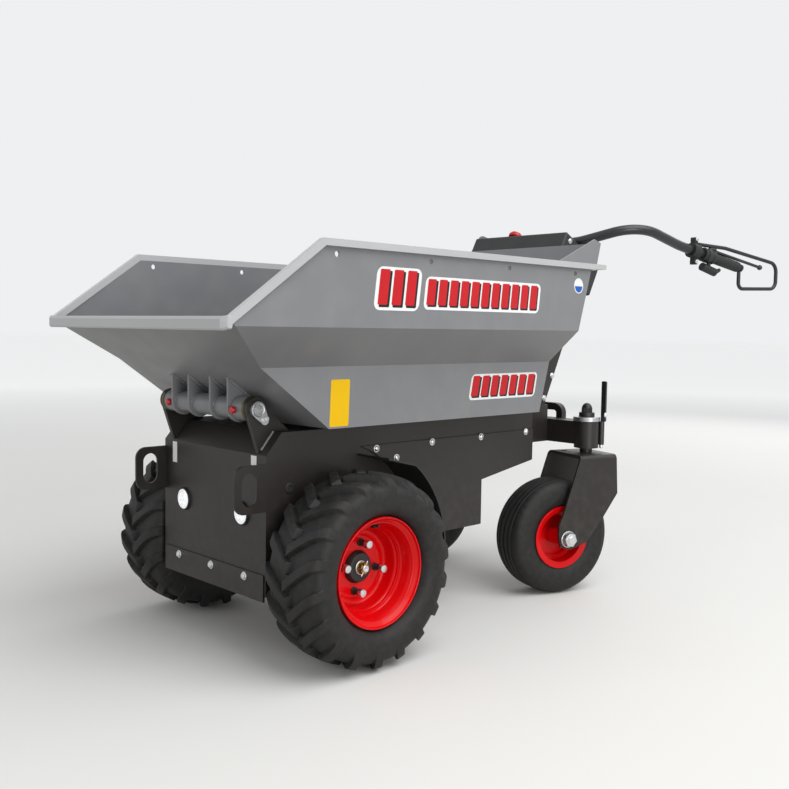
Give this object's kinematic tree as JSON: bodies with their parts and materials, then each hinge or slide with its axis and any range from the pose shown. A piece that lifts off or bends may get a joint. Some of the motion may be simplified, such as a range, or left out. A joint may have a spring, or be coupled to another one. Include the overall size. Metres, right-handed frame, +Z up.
{
  "type": "electric walk-behind site dumper",
  "caption": "Walk-behind electric site dumper: forward-tipping sheet-steel skip on a low chassis, driven front wheels, swivel casters behind and a handlebar with hand guards.",
  "frame": {"origin": "on the ground, at the middle of the bounding box", "axes": "+X to the machine's left, +Y to its rear where the operator walks, +Z up"},
  "size_m": [0.8716, 1.9778, 1.0006],
  "materials": {
    "skip_paint": "satin",
    "rim_paint": "satin",
    "frame_paint": "satin",
    "guard_paint": "satin",
    "wheel_paint": "gloss",
    "tyre": "matte",
    "steel": "brushed",
    "chrome": "polished",
    "iron": "matte",
    "console_plastic": "matte",
    "stop_red": "gloss",
    "grip_rubber": "matte",
    "lamp_lens": "gloss",
    "battery_case": "matte"
  },
  "bodies": {
    "chassis": {"front_plate": "frame_paint", "skid_plate": "frame_paint", "deck_plate": "frame_paint", "belly_pan": "frame_paint", "axle_housing": "iron", "hinge_pin": "steel", "rear_frame": "frame_paint", "tow_hitch": "frame_paint", "column": "frame_paint", "console": "console_plastic", "stop_button": "stop_red", "handlebar": "frame_paint", "side_plate_left": "frame_paint", "side_plate_right": "frame_paint", "skirt_left": "frame_paint", "skirt_right": "frame_paint", "mudguard_left": "guard_paint", "mudguard_right": "guard_paint", "hinge_ear_left": "frame_paint", "hinge_ear_right": "frame_paint", "lamp_left": "lamp_lens", "lamp_right": "lamp_lens", "battery_left": "battery_case", "battery_right": "battery_case", "lock_pin_left": "guard_paint", "lock_pin_right": "guard_paint", "grip_left": "grip_rubber", "grip_right": "grip_rubber", "brake_lever_left": "guard_paint", "brake_lever_right": "guard_paint", "hand_guard_left": "guard_paint", "hand_guard_right": "guard_paint", "rest_pad_left": "grip_rubber", "rest_pad_right": "grip_rubber"},
    "skip": {"skip_chute": "skip_paint", "skip_floor": "skip_paint", "skip_back": "skip_paint", "rim_back": "rim_paint", "lip_bar": "rim_paint", "splash_guard": "skip_paint", "hinge_bracket": "skip_paint", "skip_side_left": "skip_paint", "skip_side_right": "skip_paint", "rim_side_left": "rim_paint", "rim_side_right": "rim_paint"},
    "drive_wheel_left": {"tyre_left": "tyre", "wheel_rim_left": "wheel_paint"},
    "drive_wheel_right": {"tyre_right": "tyre", "wheel_rim_right": "wheel_paint"},
    "caster_left": {"fork_left": "frame_paint"},
    "caster_right": {"fork_right": "frame_paint"},
    "caster_wheel_left": {"caster_tyre_left": "tyre", "caster_rim_left": "wheel_paint"},
    "caster_wheel_right": {"caster_tyre_right": "tyre", "caster_rim_right": "wheel_paint"},
    "ram_barrel": {"ram_barrel": "frame_paint"},
    "ram_rod": {"ram_rod": "chrome"}
  },
  "joints": [
    {"name": "skip_tip", "type": "hinge", "parent": "chassis", "child": "skip", "pos_m": [0, -0.7849, 0.533], "axis": [1, 0, 0], "range_deg": [0, 75]},
    {"name": "drive_wheel_left_spin", "type": "hinge", "parent": "chassis", "child": "drive_wheel_left", "pos_m": [0.295, -0.6109, 0.203], "axis": [1, 0, 0], "continuous": true},
    {"name": "drive_wheel_right_spin", "type": "hinge", "parent": "chassis", "child": "drive_wheel_right", "pos_m": [-0.295, -0.6109, 0.203], "axis": [1, 0, 0], "continuous": true},
    {"name": "caster_left_swivel", "type": "hinge", "parent": "chassis", "child": "caster_left", "pos_m": [0.248, 0.2591, 0.384], "axis": [0, 0, 1], "continuous": true},
    {"name": "caster_right_swivel", "type": "hinge", "parent": "chassis", "child": "caster_right", "pos_m": [-0.248, 0.2591, 0.384], "axis": [0, 0, 1], "continuous": true},
    {"name": "caster_wheel_left_spin", "type": "hinge", "parent": "caster_left", "child": "caster_wheel_left", "pos_m": [0.21463, 0.15638, 0.153], "axis": [0.9511, -0.309, 0], "continuous": true},
    {"name": "caster_wheel_right_spin", "type": "hinge", "parent": "caster_right", "child": "caster_wheel_right", "pos_m": [-0.28137, 0.15638, 0.153], "axis": [0.9511, -0.309, 0], "continuous": true},
    {"name": "ram_pivot", "type": "hinge", "parent": "chassis", "child": "ram_barrel", "pos_m": [0, -0.1709, 0.24], "axis": [1, 0, 0], "range_deg": [-15.86, 0.5]},
    {"name": "ram_slide", "type": "slide", "parent": "ram_barrel", "child": "ram_rod", "axis": [0, -0.8821, 0.4711], "range_m": [-0.001, 0.1648]}
  ],
  "couplings": [
    {"joint": "ram_pivot", "follows": "skip_tip", "ratio": -0.20475},
    {"joint": "ram_slide", "follows": "skip_tip", "m_per_rad": 0.12441}
  ]
}
